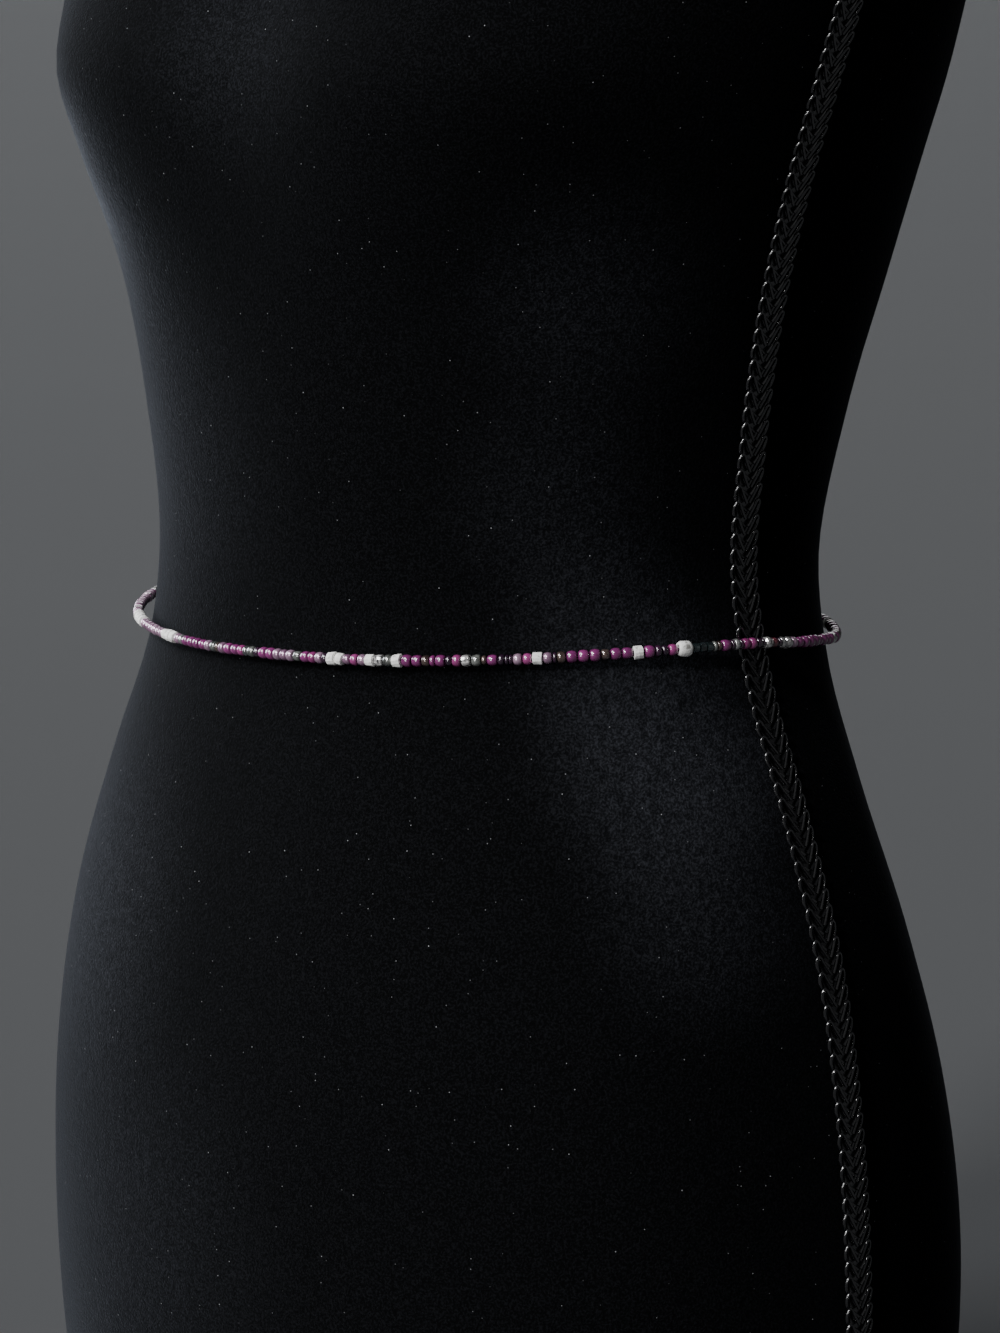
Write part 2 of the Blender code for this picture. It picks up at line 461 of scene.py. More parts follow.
@dataclass(frozen=True)
class Gimp:
    """Black gimp cord with a soft shine and a twist of fine threads."""

    dark: Colour = (0.0015, 0.0015, 0.0018)
    worn: Colour = (0.005, 0.005, 0.006)
    roughness: Pair = (0.20, 0.30)
    thread_scale: float = 2600.0
    thread_stretch: tuple[float, float, float] = (1.0, 1.0, 0.4)
    wear_scale: float = 160.0
    relief: float = 0.4
    relief_depth: float = 0.06

    def make(self) -> bpy.types.Material:
        """Makes the material.

        Returns:
            The material.
        """
        look = Look("black gimp", Specular_IOR_Level=0.6, IOR=2.0)
        threads = look.noise(look.stretched(self.thread_stretch), self.thread_scale)
        wear = look.noise(look.place, self.wear_scale, detail=3.0)
        look.paint(
            Base_Color=look.mixed(wear, self.dark, self.worn),
            Roughness=look.between(threads, NOISE_RANGE, self.roughness),
        )
        look.bump(threads, self.relief, self.relief_depth)
        return look.material


@dataclass(frozen=True)
class Thread:
    """Dark stretch cord."""

    colour: Colour = (0.035, 0.02, 0.035)
    streak: float = 1.7
    streak_scale: float = 1800.0

    def make(self) -> bpy.types.Material:
        """Makes the material.

        Returns:
            The material.
        """
        look = Look("stretch cord", Roughness=0.4)
        streaks = look.noise(look.place, self.streak_scale)
        paler = tuple(self.streak * part for part in self.colour)
        look.paint(Base_Color=look.mixed(streaks, self.colour, paler))
        return look.material


@dataclass(frozen=True)
class BeadGlass:
    """Pressed glass that varies a little from bead to bead."""

    name: str
    dark: Colour
    light: Colour
    roughness: Pair = (0.16, 0.28)
    metallic: float = 0.0
    coat: float = 0.8
    pits: float = 0.10
    mottled: float = 0.3
    mottle_scale: float = 700.0
    mottle_range: Pair = (0.34, 0.66)
    pit_depth: float = 0.15

    def make(self) -> bpy.types.Material:
        """Makes the material.

        Returns:
            The material.
        """
        look = Look(
            self.name,
            Metallic=self.metallic,
            Coat_Weight=self.coat,
            Coat_Roughness=0.12,
            Coat_IOR=2.0,
            Specular_IOR_Level=0.8,
        )
        shade = look.add("ShaderNodeAttribute")
        shade.attribute_name = BEAD_SHADE
        grain = look.noise(look.place, self.mottle_scale)
        spots = look.maths("MULTIPLY", look.between(grain, self.mottle_range, WHOLE), self.mottled)
        own = look.maths("MULTIPLY", shade.outputs["Fac"], 1.0 - self.mottled)
        look.paint(
            Base_Color=look.mixed(look.maths("ADD", own, spots), self.dark, self.light),
            Roughness=look.between(grain, NOISE_RANGE, self.roughness),
        )
        look.bump(grain, self.pits, self.pit_depth)
        return look.material


@dataclass(frozen=True)
class BeadStone:
    """Chalky white stone with faint grey veins."""

    name: str
    chalk: Colour = (0.97, 0.96, 0.93)
    vein: Colour = (0.34, 0.33, 0.31)
    roughness: Pair = (0.42, 0.68)
    vein_scale: float = 420.0
    vein_range: Pair = (0.33, 0.42)
    grain_scale: float = 1900.0
    grain_height: float = 0.5
    relief: float = 0.6
    relief_depth: float = 0.25

    def make(self) -> bpy.types.Material:
        """Makes the material.

        Returns:
            The material.
        """
        look = Look(self.name, Specular_IOR_Level=0.35)
        veins = look.noise(look.place, self.vein_scale, detail=4.0)
        grain = look.noise(look.place, self.grain_scale, detail=3.0)
        look.paint(
            Base_Color=look.mixed(look.between(veins, self.vein_range, WHOLE), self.vein, self.chalk),
            Roughness=look.between(grain, NOISE_RANGE, self.roughness),
        )
        dust = look.maths("MULTIPLY", grain, self.grain_height)
        look.bump(look.maths("ADD", veins, dust), self.relief, self.relief_depth)
        return look.material


# The dress form


class Section(NamedTuple):
    """One horizontal section of the form."""

    height: float
    half_width: float
    front: float
    back: float
    squareness: float
    bust: float


FORM_SECTIONS = (
    Section(0, 157, 98, 119, 2.20, 0),
    Section(20, 159, 101, 122, 2.20, 0),
    Section(60, 162, 106, 129, 2.20, 0),
    Section(105, 162, 109, 131, 2.20, 0),
    Section(155, 158, 109, 122, 2.20, 0),
    Section(205, 149, 103, 105, 2.20, 0),
    Section(250, 134, 93, 91.5, 2.20, 0),
    Section(285, 120, 85.2, 88.2, 2.20, 0),
    Section(315, 113, 85.3, 90.2, 2.20, 0),
    Section(360, 116, 89.2, 104, 2.20, 0),
    Section(405, 124, 93.5, 120, 2.25, 2),
    Section(440, 134, 93.5, 127, 2.30, 12),
    Section(465, 143, 92, 129, 2.35, 18),
    Section(500, 155, 85, 127, 2.40, 12),
    Section(545, 163, 78.5, 119, 2.50, 3),
    Section(620, 170, 69, 99, 2.60, 0),
    Section(660, 168, 60, 82, 2.60, 0),
    Section(684, 148, 52, 72, 2.50, 0),
    Section(700, 110, 48, 64, 2.30, 0),
    Section(714, 76, 48, 56, 2.10, 0),
    Section(730, 60, 51, 50, 2.00, 0),
    Section(755, 56, 53, 47, 2.00, 0),
    Section(775, 55, 54, 46, 2.00, 0),
)


@dataclass
class DressForm:
    """The torso under its velvet, from the flat base to the flat neck top.

    The probes are the steps over which the form's slope is measured.
    """

    sections: tuple[Section, ...] = FORM_SECTIONS
    bust_angle: float = 39.0
    bust_spread: float = 22.0
    bust_valley: float = 0.45
    probe_angle: float = 0.2
    probe_height: float = 0.5
    edge_round: float = 4.0
    edge_steps: int = 4
    sides: int = 120
    ring_gap: float = 7.0
    smooth_angle: float = 50.0
    front_sheen: float = 0.40
    back_sheen: float = 0.08
    flat_end: float = 0.99

    @cached_property
    def table(self) -> np.ndarray:
        """The sections as rows of numbers."""
        return np.array(self.sections, float)

    def point(self, angle: np.ndarray | float, height: np.ndarray | float) -> np.ndarray:
        """Points on the form.

        Args:
            angle: degrees round the form.
            height: heights above the base.

        Returns:
            Rows of x, y and z.
        """
        angle, height = np.broadcast_arrays(np.asarray(angle, float), np.asarray(height, float))
        sizes = smooth_curve(self.table[:, 0], self.table[:, 1:], height)
        half_width, front, back, squareness, bust = np.moveaxis(sizes, -1, 0)
        across, along = np.sin(np.radians(angle)), np.cos(np.radians(angle))
        depth = np.where(along > 0, front, back)
        power = np.abs(across / half_width) ** squareness + np.abs(along / depth) ** squareness
        radius = power ** (-1 / squareness)
        turned = (angle + 180) % 360 - 180
        past_lobe = np.abs(turned) - self.bust_angle
        side = np.exp(-((past_lobe / self.bust_spread) ** 2))
        middle = 1 - self.bust_valley * (1 + np.cos(np.pi * turned / self.bust_angle)) / 2
        radius = radius + bust * np.where(past_lobe > 0, side, middle)
        return np.stack([radius * across, -radius * along, height], -1)

    def outward(self, angle: np.ndarray | float, height: np.ndarray | float) -> np.ndarray:
        """Directions straight out of the form.

        Args:
            angle: degrees round the form.
            height: heights above the base.

        Returns:
            Rows of x, y and z with length one.
        """
        angle, height = np.broadcast_arrays(np.asarray(angle, float), np.asarray(height, float))
        beside, above = self.probe_angle, self.probe_height
        turn = self.point(angle + beside, height) - self.point(angle - beside, height)
        rise = self.point(angle, height + above) - self.point(angle, height - above)
        return unit(np.cross(turn, rise))

    def rings(self) -> list[tuple[float, float]]:
        """Spaces the rings that the form is pulled up from.

        Returns:
            Each ring's height, and how far it is drawn in at a rounded edge.
        """
        top = self.sections[-1].height
        turn = np.radians(np.linspace(0, 90, self.edge_steps + 1))
        low_edge = [(self.edge_round * (1 - math.cos(t)), self.edge_round * (1 - math.sin(t))) for t in turn]
        high_edge = [(top - height, inset) for height, inset in low_edge[::-1]]
        count = round((top - 2 * self.edge_round) / self.ring_gap)
        between = np.linspace(self.edge_round, top - self.edge_round, count + 1)[1:-1]
        return [*low_edge, *((height, 0.0) for height in between), *high_edge]

    def dress(self, piece: Piece) -> None:
        """Covers the front and the back with a velvet panel each, which meet under the braids.

        Args:
            piece: the form's surface. Its two flat ends go with the front panel.
        """
        # The paler patches: painted sheen on the front, brushed nap at the back
        places = [
            (Vector(self.point(spot.angle, spot.height)) * MM, spot.reach * MM, spot.strength)
            for spot in BRUSHED_AND_PAINTED_SHEEN
        ]
        for side, sheen in (("front", self.front_sheen), ("back", self.back_sheen)):
            piece.data.materials.append(Velvet(f"black velvet, {side} panel", sheen).make(places))
        for face in piece.data.polygons:
            face.material_index = int(face.center.y > 0 and abs(face.normal.z) < self.flat_end)

    def build(self) -> Piece:
        """The velvet surface: a ring pulled up section by section and closed at both ends.

        Returns:
            The finished piece.
        """
        rings = self.rings()
        deselect_all()
        bpy.ops.mesh.primitive_circle_add(vertices=self.sides, radius=self.sections[0].half_width * MM)
        piece = added("velvet_form")
        bpy.ops.object.mode_set(mode="EDIT")
        for _ in rings[1:]:
            bpy.ops.mesh.extrude_region_move(TRANSFORM_OT_translate={"value": (0, 0, MM)})
        bpy.ops.mesh.edge_face_add()
        bpy.ops.mesh.select_all(action="DESELECT")
        bpy.ops.object.mode_set(mode="OBJECT")
        half_step = 0.5 * MM
        for edge in piece.data.edges:
            edge.select = all(piece.data.vertices[i].co.z < half_step for i in edge.vertices)
        bpy.ops.object.mode_set(mode="EDIT")
        bpy.ops.mesh.edge_face_add()
        bpy.ops.object.mode_set(mode="OBJECT")
        turn_faces_out()
        rows = coordinates(piece.data)
        level = np.rint(rows[:, 2] / MM).astype(int)
        angles = np.degrees(np.arctan2(rows[:, 0], -rows[:, 1]))
        height, inset = np.array(rings)[level].T
        shaped = self.point(angles, height)
        shaped[:, :2] -= unit(shaped[:, :2]) * inset[:, None]
        reshape_mesh(piece.data, shaped * MM)
        self.dress(piece)
        work_on(piece)
        bpy.ops.object.shade_smooth_by_angle(angle=math.radians(self.smooth_angle))
        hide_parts("dress_form")
        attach(piece, BODY)
        return piece


# The braid over the side seams


class CordPoint(NamedTuple):
    """Where the gimp's cord runs, from the braid's middle line, along it and above the velvet."""

    across: float
    along: float
    above: float


GIMP_LOOP = (
    CordPoint(0.60, -6.4, 1.40),
    CordPoint(2.00, -5.1, 1.20),
    CordPoint(3.20, -4.1, 0.90),
    CordPoint(4.25, -3.2, 0.62),
    CordPoint(5.05, -2.0, 0.75),
    CordPoint(5.35, -0.6, 1.00),
    CordPoint(5.15, 0.8, 1.35),
    CordPoint(4.40, 1.6, 1.60),
    CordPoint(3.60, 1.2, 1.60),
    CordPoint(2.95, 0.0, 1.50),
    CordPoint(1.90, -1.8, 1.45),
    CordPoint(0.50, -4.0, 1.40),
)


@dataclass
class GimpBraid:
    """Plaited gimp sewn over one side seam and along the shoulder."""

    name: str
    cad_node: str
    side_angle: float
    form: DressForm
    bottom: float = 7.0
    top: float = 767.0
    loop: tuple[CordPoint, ...] = GIMP_LOOP
    loop_steps: int = 22
    pitch: float = 4.8
    cord: float = 0.95
    tape_width: float = 6.8
    tape_levels: Pair = (0.25, 0.50)
    tape_strips: int = 4
    seam_points: int = 1600
    smooth_angle: float = 60.0

    @cached_property
    def seam(self) -> tuple[np.ndarray, np.ndarray]:
        """Measures along the seam.

        Returns:
            Heights along the seam, and the length of the seam up to each.
        """
        heights = np.linspace(self.bottom, self.top, self.seam_points)
        steps = np.diff(self.form.point(self.side_angle, heights), axis=0)
        return heights, np.concatenate([[0], np.cumsum(np.sqrt((steps**2).sum(-1)))])

    def route(self) -> np.ndarray:
        """Follows one cord out from the middle, round a loop at the edge and back.

        Returns:
            Rows of the places that it runs through.
        """
        rows = np.array(self.loop, float)
        last = len(rows) - 1
        return smooth_curve(np.linspace(0, last, len(rows)), rows, np.linspace(0, last, self.loop_steps))

    def cord_repeat(self) -> Piece:
        """Makes one repeat of the cord, on both halves of the braid.

        Returns:
            The repeat, round the braid's middle line.
        """
        piece = round_cord("gimp_loop", self.route(), self.cord, closed=False)
        apply_modifier(piece, "MIRROR", use_mirror_merge=False)
        return piece

    def ground_tape(self, length: float) -> Piece:
        """Makes the narrow tape that the cords are plaited on.

        Args:
            length: the seam's length.

        Returns:
            The tape, flat and straight.
        """
        steps = round(length / self.pitch)
        deselect_all()
        bpy.ops.mesh.primitive_grid_add(x_subdivisions=self.tape_strips, y_subdivisions=steps, size=1.0)
        piece = added("tape")
        low, high = self.tape_levels
        stretch = np.array([self.tape_width, length, 0]) * MM
        shift = np.array([0, length / 2, high]) * MM
        reshape_mesh(piece.data, coordinates(piece.data) * stretch + shift)
        apply_modifier(piece, "SOLIDIFY", thickness=(high - low) * MM, offset=-1.0)
        return piece

    def build(self, look: bpy.types.Material) -> Piece:
        """The braid, plaited flat and then laid along the seam.

        Args:
            look: the gimp.

        Returns:
            The finished piece.
        """
        heights, reach = self.seam
        length = reach[-1]
        cords = self.cord_repeat()
        apply_modifier(
            cords,
            "ARRAY",
            count=math.ceil(length / self.pitch) + 1,
            use_relative_offset=False,
            use_constant_offset=True,
            constant_offset_displace=(0, self.pitch * MM, 0),
        )
        work_on(cords, self.ground_tape(length))
        bpy.ops.object.join()
        piece = added(self.name)
        across, along, above = coordinates(piece.data).T / MM
        height = np.interp(np.clip(along, 0, length), reach, heights)
        seam = self.form.point(self.side_angle, height)
        angle = self.side_angle + np.degrees(across / np.hypot(seam[:, 0], seam[:, 1]))
        laid = self.form.point(angle, height) + self.form.outward(angle, height) * above[:, None]
        reshape_mesh(piece.data, laid * MM)
        turn_faces_out()
        bpy.ops.object.shade_smooth_by_angle(angle=math.radians(self.smooth_angle))
        piece.data.materials.clear()
        piece.data.materials.append(look)
        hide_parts(self.cad_node)
        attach(piece, BODY)
        return piece


# The strand


class Bead(Enum):
    """The kinds of bead, by the letter that the stringing order uses."""

    PLUM = "P"
    PLUM_SHORT = "p"
    MAGENTA = "M"
    MAGENTA_SHORT = "m"
    LILAC = "L"
    DARK = "D"
    DARK_THIN = "d"
    STONE = "W"
    STONE_SMALL = "w"
    CRYSTAL = "C"
    SILVER = "S"
    SMOKE = "G"
    SMOKE_THIN = "g"
    BRONZE = "B"
    BRONZE_THIN = "b"
    HEMATITE = "T"
    OXBLOOD = "R"
    OVAL = "O"


@dataclass(frozen=True)
class BeadShape:
    """A bead's size along the cord and across it, how square its wall is, and how rough it is."""

    length: float
    diameter: float
    squareness: float = 2.1
    rough: float = 0.0
    hole: float = 0.9
    around: int = 12
    profile: int = 8
    chipped: bool = False


SHAPES = {
    Bead.PLUM: BeadShape(3.4, 3.6),
    Bead.PLUM_SHORT: BeadShape(1.7, 3.4),
    Bead.MAGENTA: BeadShape(2.8, 3.5),
    Bead.MAGENTA_SHORT: BeadShape(1.9, 3.4),
    Bead.LILAC: BeadShape(2.9, 3.5),
    Bead.DARK: BeadShape(2.1, 3.3),
    Bead.DARK_THIN: BeadShape(1.2, 3.1),
    Bead.STONE: BeadShape(3.2, 3.9, 5.0, 0.24, chipped=True),
    Bead.STONE_SMALL: BeadShape(2.8, 3.7, 4.5, 0.20, chipped=True),
    Bead.CRYSTAL: BeadShape(3.2, 3.7, 3.0, 0.10, chipped=True),
    Bead.SILVER: BeadShape(2.0, 3.3, 2.8),
    Bead.SMOKE: BeadShape(3.2, 3.5, 2.6),
    Bead.SMOKE_THIN: BeadShape(1.4, 3.2),
    Bead.BRONZE: BeadShape(2.7, 3.4, 2.6),
    Bead.BRONZE_THIN: BeadShape(1.6, 3.2),
    Bead.HEMATITE: BeadShape(2.3, 3.1, 3.6, 0.05, chipped=True),
    Bead.OXBLOOD: BeadShape(2.8, 3.4),
    Bead.OVAL: BeadShape(4.9, 5.0, 2.0, 0.26, hole=1.0, around=20, profile=14),
}

# A letter for each bead that shows: those strung after the oval bead, and those before it
AFTER_OVAL = "TTTgbPdSdMMDdCRdSCLPPPPPPPPCDPD"
BEFORE_OVAL = (
    "SLLwWWwLLLLLLLwwWLSPPPPLGbLPPMSGDPPLLLGPMLDWw"
    "LMLWCGWPPBpPDMCGbPDddLMWLdBPPPBPPWPDDM"
)
# The hidden beads are drawn from these letters
HIDDEN_MIX = "PPPPPPPpMMmLLLDDdWWwCCSSGGgBBbTR"
HIDDEN_SEED = 11
RUN_COUNT = 12
# The last hidden beads, which peep past the form's outline: they take the lilac lustre finish whatever their
# own kind, a painted highlight for the strong light that falls on them there
PAINTED_HIGHLIGHT_BEFORE_SHOWN = 9


class Hang(NamedTuple):
    """Where the strand touches the form, and how far it stands off there."""

    angle: float
    height: float
    stand_off: float


STRAND_HANG = (
    Hang(-180, 293.5, 0.4),
    Hang(-125, 293.5, 0.4),
    Hang(-105, 294.0, 0.8),
    Hang(-90, 294.2, 2.3),
    Hang(-75, 293.4, 2.3),
    Hang(-64, 292.0, 2.8),
    Hang(-54, 291.0, 3.0),
    Hang(-42, 290.2, 2.0),
    Hang(-28, 290.2, 0.9),
    Hang(-8, 291.4, 0.4),
    Hang(22, 293.9, 0.4),
    Hang(50, 297.3, 0.4),
    Hang(68, 299.3, 0.9),
    Hang(80, 299.5, 1.7),
    Hang(90, 298.6, 2.3),
    Hang(98, 296.8, 2.2),
    Hang(106, 295.3, 1.9),
    Hang(118, 293.3, 1.8),
    Hang(131, 293.9, 1.4),
    Hang(148, 293.6, 0.4),
)


@dataclass
class BeadGroup:
    """Beads that share one finish and become one piece."""

    name: str
    kinds: tuple[Bead, ...]
    finish: BeadGlass | BeadStone
    slot: str = "beads"
    copies: list[Piece] = field(default_factory=list)
    nodes: set[str] = field(default_factory=set)


def bead_groups() -> list[BeadGroup]:
    """Sorts the strand's kinds of bead by finish.

    Returns:
        The groups, with no beads in them yet.
    """
    return [
        BeadGroup(
            "beads_plum",
            (Bead.PLUM, Bead.PLUM_SHORT),
            BeadGlass("plum glass", (0.125, 0.012, 0.090), (0.27, 0.036, 0.185)),
        ),
        BeadGroup(
            "beads_magenta",
            (Bead.MAGENTA, Bead.MAGENTA_SHORT),
            BeadGlass("magenta glass", (0.21, 0.018, 0.125), (0.36, 0.055, 0.22)),
        ),
        BeadGroup(
            "beads_lilac",
            (Bead.LILAC,),
            BeadGlass(
                "lilac lustre glass",
                (0.24, 0.10, 0.20),
                (0.60, 0.39, 0.53),
                roughness=(0.18, 0.30),
                metallic=0.45,
            ),
        ),
        BeadGroup(
            "beads_dark",
            (Bead.DARK, Bead.DARK_THIN),
            BeadGlass("near-black plum glass", (0.012, 0.003, 0.012), (0.045, 0.010, 0.038)),
        ),
        BeadGroup(
            "beads_stone",
            (Bead.STONE, Bead.STONE_SMALL),
            BeadStone("white stone"),
        ),
        BeadGroup(
            "beads_crystal",
            (Bead.CRYSTAL,),
            BeadGlass(
                "silver-lined crystal",
                (0.04, 0.04, 0.042),
                (0.92, 0.90, 0.88),
                roughness=(0.05, 0.12),
                metallic=0.35,
                coat=1.0,
                pits=0.5,
                mottled=0.95,
                mottle_scale=1000.0,
            ),
        ),
        BeadGroup(
            "beads_silver",
            (Bead.SILVER,),
            BeadGlass(
                "silver glass",
                (0.12, 0.12, 0.125),
                (0.72, 0.71, 0.70),
                roughness=(0.08, 0.18),
                metallic=0.7,
                coat=1.0,
                pits=0.25,
                mottled=0.5,
            ),
        ),
        BeadGroup(
            "beads_smoke",
            (Bead.SMOKE, Bead.SMOKE_THIN),
            BeadGlass(
                "smoke grey glass",
                (0.02, 0.022, 0.02),
                (0.26, 0.27, 0.25),
                roughness=(0.06, 0.14),
                metallic=0.3,
                coat=1.0,
                pits=0.3,
                mottled=0.7,
            ),
        ),
        BeadGroup(
            "beads_bronze",
            (Bead.BRONZE, Bead.BRONZE_THIN),
            BeadGlass(
                "bronze glass",
                (0.035, 0.020, 0.020),
                (0.25, 0.17, 0.145),
                roughness=(0.12, 0.24),
                metallic=0.6,
                pits=0.3,
                mottled=0.65,
            ),
        ),
        BeadGroup(
            "beads_hematite",
            (Bead.HEMATITE,),
            BeadGlass(
                "blue-black hematite",
                (0.004, 0.008, 0.010),
                (0.09, 0.14, 0.15),
                roughness=(0.04, 0.10),
                metallic=0.8,
                coat=1.0,
                pits=1.0,
                mottled=0.6,
                mottle_scale=800.0,
            ),
        ),
        BeadGroup(
            "beads_oxblood",
            (Bead.OXBLOOD,),
            BeadGlass("oxblood glass", (0.085, 0.008, 0.018), (0.14, 0.014, 0.030)),
        ),
        BeadGroup("bead_oval", (Bead.OVAL,), BeadStone("white oval stone"), "oval"),
    ]


@dataclass
class WaistStrand:
    """The loop of beads round the waist, strung from the oval bead towards the form's left and back.

    The length share is how much of its place on the cord a bead fills.
    """

    form: DressForm
    radius: float = 1.9
    oval_angle: float = 77.0
    size_spread: float = 0.045
    length_share: float = 0.91
    largest: float = 1.07
    tilt: float = 3.5
    chip_grain: float = 1.3
    cord: float = 0.8
    cord_skip: int = 12
    line_points: int = 4321
    direction_step: float = 0.3
    weld: float = 0.02
    seed: int = 5

    @cached_property
    def line(self) -> tuple[np.ndarray, np.ndarray, np.ndarray]:
        """Works out where the cord runs round the waist.

        Returns:
            The cord's points, the form's outward directions there, and the length up to each.
        """
        angles = np.linspace(self.oval_angle, self.oval_angle + 360, self.line_points)
        turned = (angles + 180) % 360 - 180
        rows = np.array(STRAND_HANG, float)
        rows = np.concatenate([rows - [360, 0, 0], rows, rows + [360, 0, 0]])
        hang = smooth_curve(rows[:, 0], rows[:, 1:], turned)
        outward = self.form.outward(turned, hang[:, 0])
        points = self.form.point(turned, hang[:, 0]) + outward * (self.radius + hang[:, 1:])
        steps = np.sqrt((np.diff(points, axis=0) ** 2).sum(-1))
        return points, outward, np.concatenate([[0], np.cumsum(steps)])

    @property
    def length(self) -> float:
        """The loop's length."""
        return float(self.line[2][-1])

    def read(self, rows: np.ndarray, distance: float) -> Vector:
        """A row along the line, read at a distance from the oval bead."""
        where = distance % self.length
        return Vector([float(np.interp(where, self.line[2], rows[:, k])) for k in range(3)])

    def stringing_order(self) -> list[Bead]:
        """Puts the beads in order, with as many hidden ones as there is room for.

        Returns:
            All beads of the loop, from the oval bead onwards.
        """
        shown = AFTER_OVAL + BEFORE_OVAL
        room = self.length - SHAPES[Bead.OVAL].length - sum(SHAPES[Bead(k)].length for k in shown)
        dice = random.Random(HIDDEN_SEED)
        hidden: list[str] = []
        letter = dice.choice(HIDDEN_MIX)
        while room > SHAPES[Bead(letter)].length:
            hidden.append(letter)
            room -= SHAPES[Bead(letter)].length
            letter = dice.choice(HIDDEN_MIX)
        return [Bead(k) for k in "O" + AFTER_OVAL + "".join(hidden) + BEFORE_OVAL]

    def master(self, kind: Bead) -> Piece:
        """One bead on the Z axis: the section of its wall, spun round its hole.

        Args:
            kind: the kind of bead.

        Returns:
            The bead that is copied along the strand.
        """
        shape = SHAPES[kind]
        wall = (shape.diameter - shape.hole) / 2
        middle = (shape.diameter + shape.hole) / 4
        deselect_all()
        bpy.ops.mesh.primitive_circle_add(vertices=shape.profile, radius=1.0)
        piece = added(kind.name.lower())
        rows = coordinates(piece.data)
        across, along, level = (np.sign(rows) * np.abs(rows) ** (2 / shape.squareness)).T
        section = np.stack([middle + across * wall / 2, level, along * shape.length / 2], -1)
        reshape_mesh(piece.data, section * MM)
        bpy.ops.object.mode_set(mode="EDIT")
        bpy.ops.mesh.select_all(action="SELECT")
        bpy.ops.mesh.spin(steps=shape.around, angle=math.tau, center=(0, 0, 0), axis=(0, 0, 1))
        bpy.ops.mesh.select_all(action="SELECT")
        bpy.ops.mesh.remove_doubles(threshold=self.weld * MM)
        bpy.ops.object.mode_set(mode="OBJECT")
        turn_faces_out()
        if shape.chipped:
            bpy.ops.object.shade_flat()
        else:
            bpy.ops.object.shade_smooth()
        return piece

    def place(self, master: Piece, kind: Bead, distance: float, dice: random.Random) -> Piece:
        """Strings one copy of a bead.

        A rough bead's wall is pushed about by the noise, which each bead reads at a place of its own.

        Args:
            master: the bead to copy.
            kind: its kind.
            distance: how far along the loop its middle lies.
            dice: gives the bead its own size, tilt and shade.

        Returns:
            The copy.
        """
        points, outward, _ = self.line
        centre = self.read(points, distance)
        ahead = self.read(points, distance + self.direction_step)
        behind = self.read(points, distance - self.direction_step)
        along = (ahead - behind).normalized()
        out = self.read(outward, distance)
        out = (out - along * out.dot(along)).normalized()
        basis = Matrix((out, along.cross(out), along)).transposed().to_4x4()
        lean = Matrix.Rotation(math.radians(dice.gauss(0, self.tilt)), 4, "X")
        roll = Matrix.Rotation(dice.uniform(0, math.tau), 4, "Z")
        girth = min(1 + dice.gauss(0, self.size_spread), self.largest)
        size = Matrix.Diagonal((girth, girth, self.length_share, 1.0))
        copy = master.copy()
        copy.data = master.data.copy()
        bpy.context.scene.collection.objects.link(copy)
        rough = SHAPES[kind].rough
        if rough:
            origin = Vector((distance, 3 * distance, 0))
            grain = self.chip_grain * MM
            for vertex in copy.data.vertices:
                vertex.co += noise.noise_vector(vertex.co / grain + origin) * rough * MM
        copy.data.transform(Matrix.Translation(centre * MM) @ basis @ lean @ roll @ size)
        shade = copy.data.attributes.new(BEAD_SHADE, "FLOAT", "POINT")
        shade.data.foreach_set("value", [dice.random()] * len(copy.data.vertices))
        return copy

    def build_beads(self) -> list[Piece]:
        """Strings every bead and joins those of one finish into one piece.

        Returns:
            The finished pieces.
        """
        order = self.stringing_order()
        slack = (self.length - sum(SHAPES[kind].length for kind in order)) / len(order)
        groups = bead_groups()
        group_of = {kind: group for group in groups for kind in group.kinds}
        masters = {kind: self.master(kind) for kind in SHAPES}
        # The number of the bead that each CAD run ends at, after the oval bead's own number 0
        cuts = np.round(np.linspace(0, len(order) - 1, RUN_COUNT + 1)).astype(int)
        dice = random.Random(self.seed)
        noise.seed_set(self.seed)
        distance = -SHAPES[Bead.OVAL].length / 2
        first_shown = len(order) - len(BEFORE_OVAL)
        for number, kind in enumerate(order):
            length = SHAPES[kind].length
            # Painted highlight: a hidden bead next to the shown ones takes the lilac finish, whatever its
            # kind
            painted_highlight = 0 < first_shown - number <= PAINTED_HIGHLIGHT_BEFORE_SHOWN
            group = group_of[Bead.LILAC if painted_highlight else kind]
            group.copies.append(self.place(masters[kind], kind, distance + length / 2, dice))
            run = int(np.searchsorted(cuts, number, side="left"))
            group.nodes.add(f"bead_run_{run:02d}" if number else "oval_bead")
            distance += length + slack
        for master in masters.values():
            bpy.data.objects.remove(master)
        return [self.join(group) for group in groups]

    def join(self, group: BeadGroup) -> Piece:
        """Joins the beads of one finish and dresses them.

        Args:
            group: the finish and its beads.

        Returns:
            The finished piece.
        """
        work_on(*group.copies)
        bpy.ops.object.join()
        piece = added(group.name)
        piece.data.materials.append(group.finish.make())
        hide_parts(*sorted(group.nodes))
        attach(piece, BODY)
        return piece

    def build_cord(self, look: bpy.types.Material) -> Piece:
        """The stretch cord inside the beads, a closed ring.

        Args:
            look: the cord's finish.

        Returns:
            The finished piece.
        """
        points = self.line[0]
        piece = round_cord("stretch_cord", points[: -1 : self.cord_skip], self.cord, closed=True)
        bpy.ops.object.shade_smooth()
        piece.data.materials.append(look)
        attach(piece, BODY)
        return piece


# The studio


@dataclass(frozen=True)
class Lamp:
    """A very large soft light, by the direction that it shines from.

    The azimuth is counted as the camera's is: 0 in front of the form, 90 at its left side.
    The strength is in watts per square metre, and the softness is the light's width in degrees.
    """

    name: str
    azimuth: float
    elevation: float
    strength: float
    softness: float
    colour: Colour = (1.0, 1.0, 1.0)


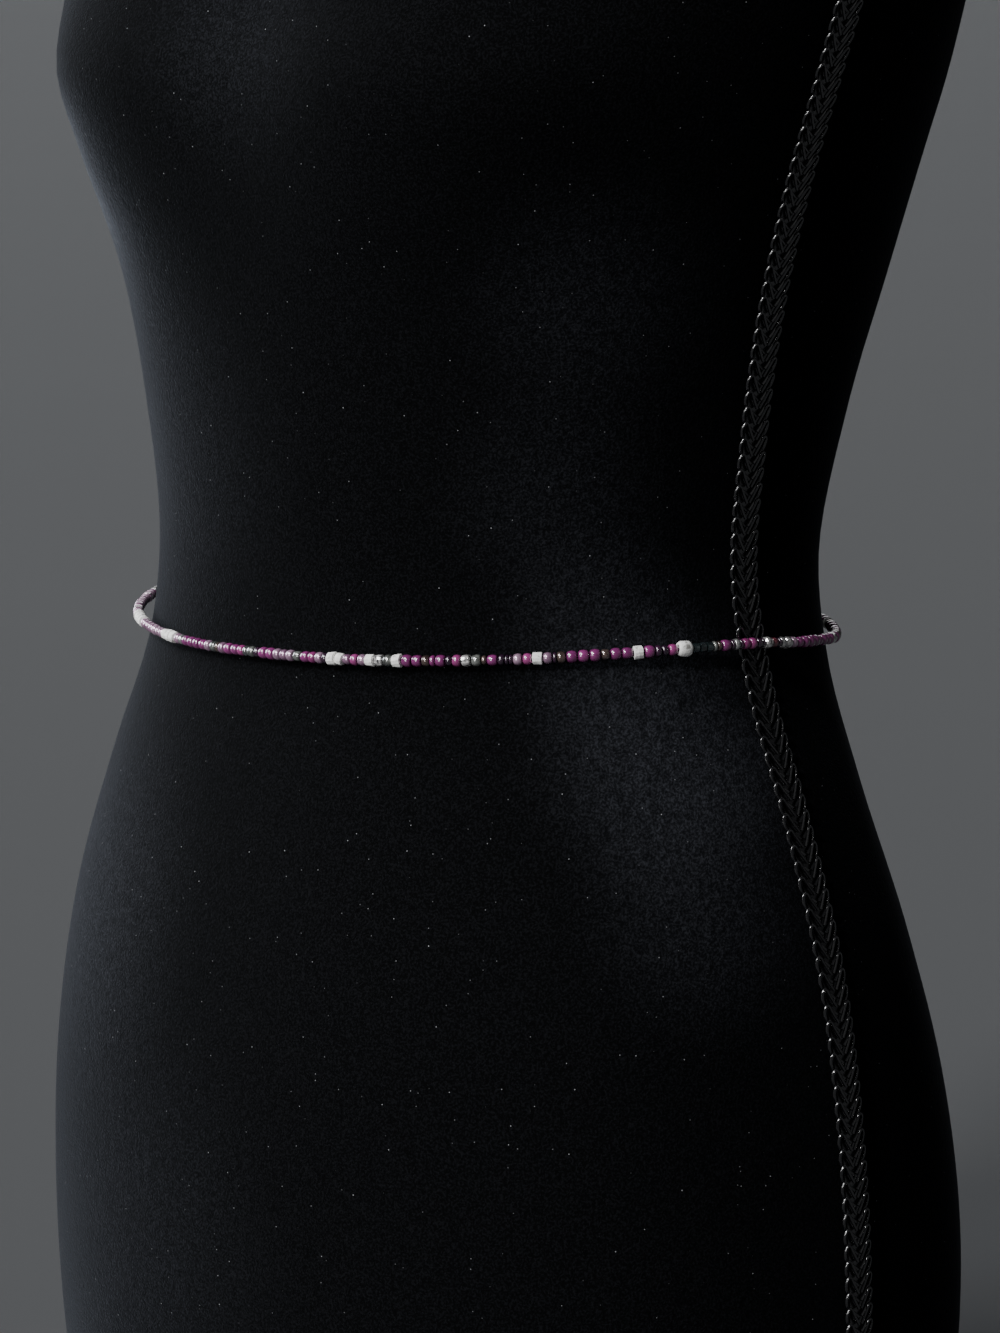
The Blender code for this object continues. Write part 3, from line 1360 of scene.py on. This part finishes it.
LAMPS = (
    Lamp("window", -28.0, 41.0, 2.35, 32.0, (0.97, 0.98, 1.0)),
    Lamp("side window", -85.0, 12.0, 2.2, 35.0, (0.89, 0.94, 1.0)),
    Lamp("front light", 8.0, 38.0, 1.7, 9.0),
    Lamp("low light", 5.0, 8.0, 0.9, 20.0),
    Lamp("fill", 110.0, 30.0, 0.05, 40.0),
    Lamp("back light", 226.0, 25.0, 0.45, 40.0, (0.97, 0.98, 1.0)),
)


def direction(azimuth: float, elevation: float) -> Vector:
    """The way from the form towards an azimuth and an elevation in degrees."""
    turn, rise = math.radians(azimuth), math.radians(elevation)
    return Vector((math.sin(turn) * math.cos(rise), -math.cos(turn) * math.cos(rise), math.sin(rise)))


@dataclass
class Studio:
    """Floor, lights and the camera at the photo's viewpoint."""

    azimuth: float = 46.0
    elevation: float = 9.5
    distance_m: float = 1.5
    lens: float = 128.0
    sensor: float = 36.0
    aim_m: tuple[float, float, float] = (0.0043, 0.0045, 0.278)
    floor_side_m: float = 80.0
    floor_colour: Colour = (0.068, 0.0695, 0.072)
    wash: float = 1.04
    wash_scale: float = 1.5
    sky: Colour = (0.036, 0.037, 0.039)
    lamps: tuple[Lamp, ...] = LAMPS

    def build_floor(self) -> Piece:
        """Makes the plain grey floor, which is the backdrop too.

        Returns:
            The floor.
        """
        deselect_all()
        bpy.ops.mesh.primitive_plane_add(size=self.floor_side_m)
        floor = added("floor")
        look = Look("plain floor", Roughness=0.9, Specular_IOR_Level=0.2)
        washes = look.noise(look.place, self.wash_scale)
        paler = tuple(self.wash * part for part in self.floor_colour)
        look.paint(Base_Color=look.mixed(washes, self.floor_colour, paler))
        floor.data.materials.append(look.material)
        return floor

    def build_lights(self) -> None:
        """Makes the soft lights, and the dim light all round."""
        for lamp in self.lamps:
            data = bpy.data.lights.new(lamp.name, "SUN")
            data.energy = lamp.strength
            data.angle = math.radians(lamp.softness)
            data.color = lamp.colour
            light = bpy.data.objects.new(lamp.name, data)
            light.rotation_euler = direction(lamp.azimuth, lamp.elevation).to_track_quat("Z", "Y").to_euler()
            bpy.context.scene.collection.objects.link(light)
        world = bpy.data.worlds.new("soft light")
        world.use_nodes = True
        world.node_tree.nodes["Background"].inputs["Color"].default_value = (*self.sky, 1.0)
        bpy.context.scene.world = world

    def build_camera(self) -> Piece:
        """Makes the camera at the photo's viewpoint and looks through it.

        Returns:
            The camera.
        """
        data = bpy.data.cameras.new("camera")
        data.lens = self.lens
        data.sensor_width = self.sensor
        data.sensor_height = self.sensor
        data.sensor_fit = "VERTICAL"
        camera = bpy.data.objects.new("camera", data)
        back = direction(self.azimuth, self.elevation)
        camera.location = Vector(self.aim_m) + back * self.distance_m
        camera.rotation_euler = back.to_track_quat("Z", "Y").to_euler()
        bpy.context.scene.collection.objects.link(camera)
        bpy.context.scene.camera = camera
        return camera


def report(piece: Piece) -> None:
    """Logs a finished piece."""
    LOG.info("%s: %d faces", piece.name, len(piece.data.polygons))


def main() -> None:
    """Builds the studio, the form, its braids and the strand."""
    logging.basicConfig(level=logging.INFO, format="%(name)s: %(message)s")
    studio = Studio()
    studio.build_camera()
    studio.build_floor()
    studio.build_lights()
    form = DressForm()
    report(form.build())
    gimp = Gimp().make()
    for side, angle in (("left", 90.0), ("right", -90.0)):
        braid = GimpBraid(f"gimp_braid_{side}", f"side_braid_{side}", angle, form)
        report(braid.build(gimp))
    strand = WaistStrand(form)
    for piece in strand.build_beads():
        report(piece)
    report(strand.build_cord(Thread().make()))
    LOG.info("strand length %.1f mm", strand.length)


if __name__ == "__main__":
    main()
